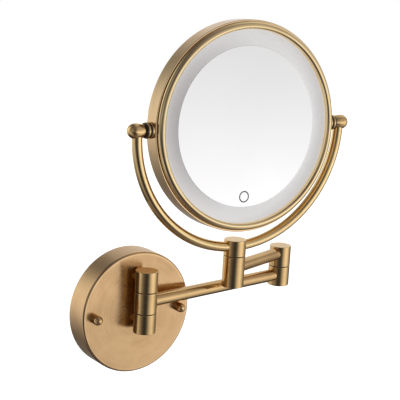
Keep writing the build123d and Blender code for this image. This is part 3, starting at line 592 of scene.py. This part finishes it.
def round_normals(mesh, rules):
    """Sets exact normals again after a cut. rules: list of (test(centre, normal), normal_at(point))."""
    normals = [None] * len(mesh.loops)
    for p in mesh.polygons:
        at = None
        for test, normal_at in rules:
            if test(p.center, p.normal):
                at = normal_at
                break
        for li in p.loop_indices:
            co = mesh.vertices[mesh.loops[li].vertex_index].co
            n = at(co, p.normal) if at else p.normal
            normals[li] = tuple(n)
    mesh.polygons.foreach_set("use_smooth", [True] * len(mesh.polygons))
    mesh.normals_split_custom_set(normals)


def plug(origin, axis, radius, a, b, steps=40, long=0.0, across=None):
    """Closed cylinder, or a stadium when long is set, from a to b along axis, in millimetres."""
    z = axis.normalized()
    x = (across or (UP if abs(z.z) < 0.9 else X))
    x = (x - z * x.dot(z)).normalized()
    y = z.cross(x)
    ring = []
    for k in range(steps):
        t = 2 * math.pi * (k + 0.5) / steps
        shift = long / 2 if math.cos(t) > 0 else -long / 2
        ring.append((radius * math.cos(t) + shift, radius * math.sin(t)))
    verts = [tuple(origin + (x * p + y * q + z * h) * MM) for h in (a, b) for p, q in ring]
    faces = [[k, (k + 1) % steps, steps + (k + 1) % steps, steps + k] for k in range(steps)]
    faces.append(list(range(steps))[::-1])
    faces.append(list(range(steps, 2 * steps)))
    mesh = bpy.data.meshes.new("plug")
    mesh.from_pydata(verts, [], faces)
    mesh.uv_layers.new(name="brush")
    mesh.attributes.new("wear", "FLOAT", "CORNER")
    return mesh


def column_rules(axis_point, radius, z_low, z_high, edge, hole_origin, hole_axis, hole_r):
    """Rules for a vertical round knuckle with one cross hole."""
    def radial(co):
        d = Vector((co.x - axis_point.x, co.y - axis_point.y, 0))
        return d

    def in_hole(c, n):
        w = c - hole_origin
        w -= hole_axis * w.dot(hole_axis)
        return w.length < hole_r * MM * 1.02 and radial(c).length < radius * MM * 0.995 and w.length > hole_r * MM * 0.9

    def hole_normal(co, n):
        w = co - hole_origin
        w -= hole_axis * w.dot(hole_axis)
        return (-w).normalized()

    def on_side(c, n):
        return radial(c).length > (radius - 0.06) * MM and z_low + edge * 0.99 < c.z / MM < z_high - edge * 0.99 and abs(n.z) < 0.05

    def side_normal(co, n):
        return radial(co).normalized()

    def on_edge(c, n):
        return radial(c).length > (radius - edge) * MM and (c.z / MM > z_high - edge or c.z / MM < z_low + edge) and abs(n.z) < 0.999

    def edge_normal(co, n):
        d = radial(co).normalized()
        centre = d * (radius - edge) * MM + Vector((axis_point.x, axis_point.y, 0))
        centre.z = (z_high - edge if co.z / MM > (z_low + z_high) / 2 else z_low + edge) * MM
        v = co - centre
        return v.normalized() if v.length > 1e-7 else n

    return [(in_hole, hole_normal), (on_side, side_normal), (on_edge, edge_normal)]


elbow_up = revolved("elbow_upper", outline([
    (0, 42.5), (4.02, 42.5), (4.02, 25.1), (11, 25.1, EDGE), (11, 46.0, EDGE), (0, 46.0)]), elbow_axis, UP, X)
hole_at = elbow_axis + UP * 32.0 * MM
elbow_up = cut(elbow_up, plug(hole_at, -arm2, 1.52, 4.5, 15.0), None)
round_normals(elbow_up, column_rules(elbow_axis, 11.0, 25.1, 46.0, EDGE, hole_at, -arm2, 1.52))
place("elbow_upper", elbow_up, "upper_arm", turned_brass, ["elbow_upper_knuckle"])

YOKE_DROP, YOKE_R, YOKE_TUBE = 3.15, 116.5, 5.0
tube_low = pivot.z / MM - YOKE_DROP - YOKE_R
hub = revolved("hub", outline([
    (0, 28.5), (2.02, 28.5), (2.02, 26.9), (4.0, 26.9), (4.0, 51.4), (11, 51.4, EDGE), (11, 67.3, EDGE), (0, 67.3)]),
    head_axis, UP, X)
hole_at = Vector((head_axis.x, head_axis.y, tube_low * MM))
hub = cut(hub, plug(hole_at, -yoke_front, 2.02, 4.0, 15.0), None)
round_normals(hub, column_rules(head_axis, 11.0, 51.4, 67.3, EDGE, hole_at, -yoke_front, 2.02))
place("hub", hub, "yoke", turned_brass, ["yoke_hub"])

# ---------------------------------------------------------------- arm tubes
arm1_len = (elbow_axis - wall_axis).length / MM
arm2_len = (head_axis - elbow_axis).length / MM
for name, start, direction, length, z, body, node in (
        ("first_arm", wall_axis, arm1, arm1_len, 15.0, "lower_arm", "lower_arm_tube"),
        ("second_arm", elbow_axis, arm2, arm2_len, 38.0, "upper_arm", "upper_arm_tube")):
    tube = revolved(name, outline([
        (5.05, length - 7.0), (5.05, 7.0), (6.35, 7.0), (6.35, length - 7.0)]), start + UP * z * MM, direction, UP, 96)
    place(name, tube, body, tube_brass, [node])

# ---------------------------------------------------------------- yoke
yoke_centre = pivot - UP * YOKE_DROP * MM
LEG_END = 4.0
end_angle = math.degrees(math.asin((LEG_END - YOKE_DROP) / YOKE_R))
yoke = revolved("yoke_bow", outline([("arc", YOKE_R, 0, YOKE_TUBE, 0, 360, 48)]),
                yoke_centre, yoke_front, side, 224, (180 + end_angle, 360 - end_angle))
if sum(v.co.z for v in yoke.vertices) / len(yoke.vertices) > pivot.z:
    bpy.data.meshes.remove(yoke)
    yoke = revolved("yoke_bow", outline([("arc", YOKE_R, 0, YOKE_TUBE, 0, 360, 48)]),
                    yoke_centre, yoke_front, side, 224, (end_angle, 180 - end_angle))
place("yoke_bow", yoke, "yoke", yoke_brass, ["yoke_tube"])

CAP_R, CAP_IN, CAP_OUT = 7.25, 109.6, 119.4
# the barrel swells gently from the washers to the ball, on a 30 mm radius
SWELL = 30.0
swell_deg = math.degrees(math.asin((CAP_OUT - CAP_IN) / SWELL))
for name, direction, node in (("pivot_barrel_left", -side, "pivot_cap_left"), ("pivot_barrel_right", side, "pivot_cap_right")):
    cap = revolved(name, outline([
        (0, 121.4), (3.05, 121.4), (3.05, CAP_IN),
        ("arc", CAP_R - SWELL, CAP_OUT, SWELL, -swell_deg, 0, 12),
        ("arc", 0, CAP_OUT, CAP_R, 0, 90, 20)]), pivot, direction, UP, 96)
    place(name, cap, "yoke", ball_brass, [node])
collars, bosses, pads = [], [], []
PAD_R = 7.2
for direction in (-side, side):
    collars.append(revolved("collar", outline([
        (3.05, 108.1), (3.05, 106.1), (7.75, 106.1, 0.45), (7.75, 108.1, 0.45)]), pivot, direction, UP, 96))
    bosses.append(revolved("boss", outline([
        (3.02, 104.1), (3.02, 100.9), (7.75, 100.9), (7.75, 104.1, 0.45)]), pivot, direction, UP, 96))
    for a, b in ((104.15, 106.05), (108.15, 109.55)):
        pads.append(revolved("pad", outline([(3.1, b), (3.1, a), (PAD_R, a, 0.3), (PAD_R, b, 0.3)]), pivot, direction, UP, 96))
place("pivot_washers", joined("pivot_washers", pads), "yoke", dark_nylon, ["pivot_friction_washers"])
place("pivot_collar_rings", joined("pivot_collar_rings", collars), "yoke", turned_brass, ["pivot_collars"])
place("pivot_boss_rings", joined("pivot_boss_rings", bosses), "mirror_head", turned_brass, ["pivot_bosses"])

# ---------------------------------------------------------------- mirror head
drum = revolved("drum", outline([
    (99.65, 5.5), (99.65, -5.5), (100.35, -5.5), (100.35, -8.4, 0.2), (102.1, -8.4, 0.5), (102.1, 8.4, 0.5), (100.35, 8.4, 0.2), (100.35, 5.5)]),
    pivot, mirror_front, side, 360)
slot_at = pivot - mirror_up * 102.1 * MM + mirror_front * -2.8 * MM
drum = cut(drum, plug(slot_at, -mirror_up, 1.75, -5.0, 1.0, 48, 9.3 - 3.5, side), None)


def drum_normal_rules():
    def split(co):
        w = co - pivot
        h = w.dot(mirror_front)
        return w - mirror_front * h, h / MM

    def in_slot(c, n):
        flat = n - mirror_up * n.dot(mirror_up)
        rad, h = split(c)
        return flat.length > 0.95 and (c - slot_at).length < 8 * MM and rad.length / MM < 102.05 and abs(n.dot(rad.normalized())) < 0.2 and abs((c - slot_at).dot(side)) < 4.9 * MM

    def outer(c, n):
        rad, h = split(c)
        return rad.length / MM > 102.0 and abs(h) < 7.95

    def edge(c, n):
        rad, h = split(c)
        return rad.length / MM > 101.55 and abs(h) > 7.85

    def edge_normal(co, n):
        rad, h = split(co)
        d = rad.normalized()
        v = d * (rad.length / MM - 101.6) + mirror_front * (h - math.copysign(7.9, h))
        return v.normalized() if v.length > 1e-6 else n

    def inner(c, n):
        rad, h = split(c)
        return rad.length / MM < 100.5 and n.dot(rad.normalized()) < -0.5

    return [(in_slot, lambda co, n: n), (outer, lambda co, n: split(co)[0].normalized()), (edge, edge_normal),
            (inner, lambda co, n: -split(co)[0].normalized())]


round_normals(drum, drum_normal_rules())
place("drum", drum, "mirror_head", drum_brass, ["mirror_case"])

bead = [("arc", 95.9, 9.1, 4.4, -32.77, 90, 26), ("arc", 95.9, 10.9, 2.6, 90, 180, 18), (93.3, 8.12), (95.65, 8.12),
        (95.65, 6.694), (96.3, 6.536), (96.3, 5.1), (99.6, 5.1)]
front_ring = revolved("front_ring", outline(bead), pivot, mirror_front, side, 360)
place("front_ring", front_ring, "mirror_head", ring_brass, ["front_bezel"])
rear_ring = revolved("rear_ring", outline(bead), pivot, -mirror_front, side, 360)
place("rear_ring", rear_ring, "mirror_head", ring_brass, ["rear_bezel"])

glass = revolved("mirror_glass", outline([(0, 5.1), (77.9, 5.1), (77.9, 8.1, 0.4), (0, 8.1)]), pivot, mirror_front, side, 288)
for p in glass.polygons:
    w = p.center - pivot
    h = w.dot(mirror_front)
    p.material_index = 1 if (w - mirror_front * h).length > 77.45 * MM else 0
place("mirror_glass", glass, "mirror_head", [silvering, glass_edge], ["front_mirror"])

# the frosted ring is a shallow trough between the glass and the bezel
TROUGH = 2.8
chord = (95.6 - 77.92) / 2
trough_r = (chord ** 2 + TROUGH ** 2) / (2 * TROUGH)
trough_half = math.degrees(math.asin(chord / trough_r))
ring = revolved("light_ring", outline([
    (77.92, 5.1), (95.6, 5.1), (95.6, 8.0),
    ("arc", (95.6 + 77.92) / 2, 8.0 - TROUGH + trough_r, trough_r, -90 + trough_half, -90 - trough_half, 18)]),
    pivot, mirror_front, side, 288)
place("light_ring", ring, "mirror_head", frosted_ring, ["light_diffuser"])

sag, flat_r = 5.5, 95.6
dish_r = (flat_r ** 2 + sag ** 2) / (2 * sag)
half = math.degrees(math.asin(flat_r / dish_r))
dish = revolved("rear_dish", outline([
    ("arc", 0, 8.1 - sag + dish_r, dish_r, -90 + half, -90, 30),
    ("arc", 0, 8.1 - sag - 2.5 + dish_r, dish_r, -90, -90 + half, 30)]), pivot, -mirror_front, side, 288)
place("rear_dish", dish, "mirror_head", silvering, ["rear_mirror"])

touch_at = pivot + side * -1.5 * MM + mirror_up * -67.7 * MM
touch = revolved("touch_mark", outline([(4.5, 8.13), (4.5, 8.09), (5.7, 8.09), (5.7, 8.13)]), touch_at, mirror_front, side, 96)
place("touch_mark", touch, "mirror_head", mark_grey)

# ---------------------------------------------------------------- CAD pieces that stay
for node, material in {
    "wall_bracket": zinc, "bracket_studs": zinc, "column_screws": zinc, "wall_pivot_pin": zinc, "elbow_pin": zinc,
    "elbow_screw": screw_steel, "elbow_set_screw": screw_steel, "hub_screw": screw_steel, "hub_set_screw": screw_steel,
    "trunnion_left": zinc, "trunnion_right": zinc, "charge_socket": zinc,
    "wall_pivot_washers": dark_nylon, "elbow_washer": dark_nylon, "head_washer": dark_nylon,
    "inner_frame": white_abs, "led_board": board_green, "touch_sensor": board_green, "driver_board": board_green, "battery": foil,
}.items():
    for s in frame["nodes"][node].material_slots:
        s.material = material

# ---------------------------------------------------------------- stage
floor_mesh = bpy.data.meshes.new("floor")
floor_mesh.from_pydata([(-8, -8, -1.3), (8, -8, -1.3), (8, 8, -1.3), (-8, 8, -1.3)], [], [[0, 1, 2, 3]])
floor = bpy.data.objects.new("floor", floor_mesh)
scene.collection.objects.link(floor)
fm = Nodes("pale_floor")
fm.bsdf.inputs["Base Color"].default_value = (0.9, 0.9, 0.9, 1)
fm.bsdf.inputs["Roughness"].default_value = 0.9
fm.bsdf.inputs["Emission Color"].default_value = (1, 1, 1, 1)
fm.bsdf.inputs["Emission Strength"].default_value = 1.0
floor_mesh.materials.append(fm.mat)
floor.visible_glossy = False
floor.visible_diffuse = False
floor.visible_transmission = False
floor.visible_shadow = False

# ---------------------------------------------------------------- camera
AZ, EL, ROLL = math.radians(-36.06), math.radians(12.71), math.radians(3.38)
back = Vector((math.sin(AZ) * math.cos(EL), -math.cos(AZ) * math.cos(EL), math.sin(EL)))
right = (-back).cross(UP).normalized()
up = right.cross(-back).normalized()
r2 = right * math.cos(ROLL) + up * math.sin(ROLL)
u2 = -right * math.sin(ROLL) + up * math.cos(ROLL)
cam_data = bpy.data.cameras.new("camera")
cam_data.lens = 112.44
cam_data.sensor_width = 36.0
cam_data.clip_start, cam_data.clip_end = 0.05, 60.0
camera = bpy.data.objects.new("camera", cam_data)
scene.collection.objects.link(camera)
target = Vector((0.08554, 0.0, 0.09815))
camera.matrix_world = Matrix(((r2.x, u2.x, back.x, 0), (r2.y, u2.y, back.y, 0), (r2.z, u2.z, back.z, 0), (0, 0, 0, 1)))
camera.location = target + back * 1.24869
scene.camera = camera

# ---------------------------------------------------------------- studio light
# Soft boxes and dark flags round the object: (bearing from the lens, to the right; height; width; colour), in degrees.
AMBIENT = (0.004, 0.004, 0.004)
LIGHTS = [
    (-62, -12, 8, (0.36, 0.36, 0.35)),
    (-51, -12, 8, (0.14, 0.13, 0.13)),
    (-18, -12, 8, (0.04, 0.03, 0.04)),
    (4, -12, 8, (0.02, 0.03, 0.04)),
    (15, -12, 8, (0.01, 0.02, 0.03)),
    (26, -12, 8, (0.07, 0.08, 0.09)),
    (37, -12, 8, (0.29, 0.29, 0.30)),
    (48, -12, 8, (0.45, 0.44, 0.45)),
    (58, -12, 8, (0.44, 0.43, 0.44)),
    (68, -12, 8, (0.53, 0.52, 0.53)),
    (78, -12, 8, (0.59, 0.59, 0.59)),
    (89, -12, 8, (0.36, 0.36, 0.36)),
    (101, -12, 8, (0.23, 0.24, 0.24)),
    (-165, -12, 13, (0.39, 0.39, 0.39)),
    (-140, -12, 13, (0.44, 0.43, 0.42)),
    (-116, -12, 13, (0.39, 0.38, 0.37)),
    (-96, -12, 13, (0.23, 0.22, 0.22)),
    (-77, -12, 13, (0.26, 0.26, 0.25)),
    (118, -12, 13, (0.20, 0.20, 0.19)),
    (168, -12, 13, (0.16, 0.16, 0.15)),
    (-54, 6, 9, (0.14, 0.14, 0.14)),
    (-36, 6, 9, (0.21, 0.21, 0.21)),
    (-18, 6, 9, (0.20, 0.20, 0.20)),
    (0, 6, 9, (0.07, 0.07, 0.07)),
    (18, 6, 9, (0.11, 0.11, 0.11)),
    (32, 6, 9, (0.12, 0.12, 0.12)),
    (45, 6, 9, (0.41, 0.41, 0.41)),
    (58, 6, 9, (0.42, 0.41, 0.41)),
    (72, 6, 9, (0.23, 0.23, 0.22)),
    (87, 6, 9, (0.60, 0.60, 0.59)),
    (103, 6, 9, (0.43, 0.43, 0.43)),
    (-155, 9, 14, (0.35, 0.35, 0.35)),
    (-128, 9, 14, (0.25, 0.26, 0.25)),
    (-102, 9, 14, (0.80, 0.80, 0.79)),
    (-78, 9, 14, (0.06, 0.06, 0.06)),
    (122, 9, 14, (0.17, 0.16, 0.16)),
    (148, 9, 14, (0.08, 0.08, 0.08)),
    (175, 9, 14, (0.62, 0.62, 0.62)),
    (-165, 30, 14, (0.44, 0.44, 0.45)),
    (-95, 30, 14, (0.55, 0.55, 0.54)),
    (-30, 30, 14, (0.24, 0.24, 0.24)),
    (0, 30, 14, (0.05, 0.04, 0.05)),
    (56, 30, 14, (0.26, 0.25, 0.26)),
    (84, 30, 14, (0.30, 0.29, 0.28)),
    (114, 30, 14, (0.13, 0.12, 0.12)),
    (148, 30, 14, (0.50, 0.51, 0.50)),
    (-80, 56, 17, (0.05, 0.05, 0.06)),
    (30, 56, 17, (0.12, 0.10, 0.11)),
    (85, 56, 17, (0.09, 0.08, 0.08)),
    (145, 56, 17, (0.47, 0.47, 0.47)),
    (0, 84, 18, (0.08, 0.07, 0.08)),
    (-60, -32, 11, (0.34, 0.34, 0.34)),
    (-38, -32, 11, (0.34, 0.33, 0.33)),
    (72, -32, 11, (0.32, 0.30, 0.30)),
    (94, -32, 11, (0.48, 0.48, 0.47)),
    (-160, -34, 15, (0.12, 0.11, 0.10)),
    (-90, -34, 15, (0.04, 0.04, 0.03)),
    (120, -34, 15, (0.10, 0.10, 0.09)),
    (-25, -58, 16, (0.17, 0.15, 0.16)),
    (30, -58, 16, (0.04, 0.03, 0.04)),
    (85, -58, 16, (0.19, 0.18, 0.18)),
]
world = bpy.data.worlds.new("studio")
scene.world = world
world.use_nodes = True
wt = world.node_tree
wt.nodes.clear()
w_out = wt.nodes.new("ShaderNodeOutputWorld")
w_coord = wt.nodes.new("ShaderNodeTexCoord")
lens_level = Vector((back.x, back.y, 0)).normalized()
right_level = Vector((right.x, right.y, 0)).normalized()
acc = wt.nodes.new("ShaderNodeCombineXYZ")
for s, v in zip(acc.inputs, AMBIENT):
    s.default_value = v
acc = acc.outputs[0]
for bearing, height, width, colour in LIGHTS:
    b, h = math.radians(bearing), math.radians(height)
    d = (lens_level * math.cos(b) + right_level * math.sin(b)) * math.cos(h) + UP * math.sin(h)
    k = 1.0 / math.radians(width) ** 2
    dot = wt.nodes.new("ShaderNodeVectorMath")
    dot.operation = "DOT_PRODUCT"
    wt.links.new(w_coord.outputs["Generated"], dot.inputs[0])
    dot.inputs[1].default_value = d
    fall = wt.nodes.new("ShaderNodeMath")
    fall.operation = "MULTIPLY_ADD"
    wt.links.new(dot.outputs["Value"], fall.inputs[0])
    fall.inputs[1].default_value, fall.inputs[2].default_value = k, -k
    power = wt.nodes.new("ShaderNodeMath")
    power.operation = "EXPONENT"
    wt.links.new(fall.outputs[0], power.inputs[0])
    add = wt.nodes.new("ShaderNodeVectorMath")
    add.operation = "MULTIPLY_ADD"
    wt.links.new(power.outputs[0], add.inputs[0])
    add.inputs[1].default_value = colour
    wt.links.new(acc, add.inputs[2])
    acc = add.outputs[0]
w_light = wt.nodes.new("ShaderNodeBackground")
wt.links.new(acc, w_light.inputs[0])
w_white = wt.nodes.new("ShaderNodeBackground")
w_white.inputs[0].default_value = (1, 1, 1, 1)
w_path = wt.nodes.new("ShaderNodeLightPath")
w_mix = wt.nodes.new("ShaderNodeMixShader")
wt.links.new(w_path.outputs["Is Camera Ray"], w_mix.inputs[0])
wt.links.new(w_light.outputs[0], w_mix.inputs[1])
wt.links.new(w_white.outputs[0], w_mix.inputs[2])
wt.links.new(w_mix.outputs[0], w_out.inputs[0])

scene.view_settings.view_transform = "Standard"
scene.view_settings.look = "None"
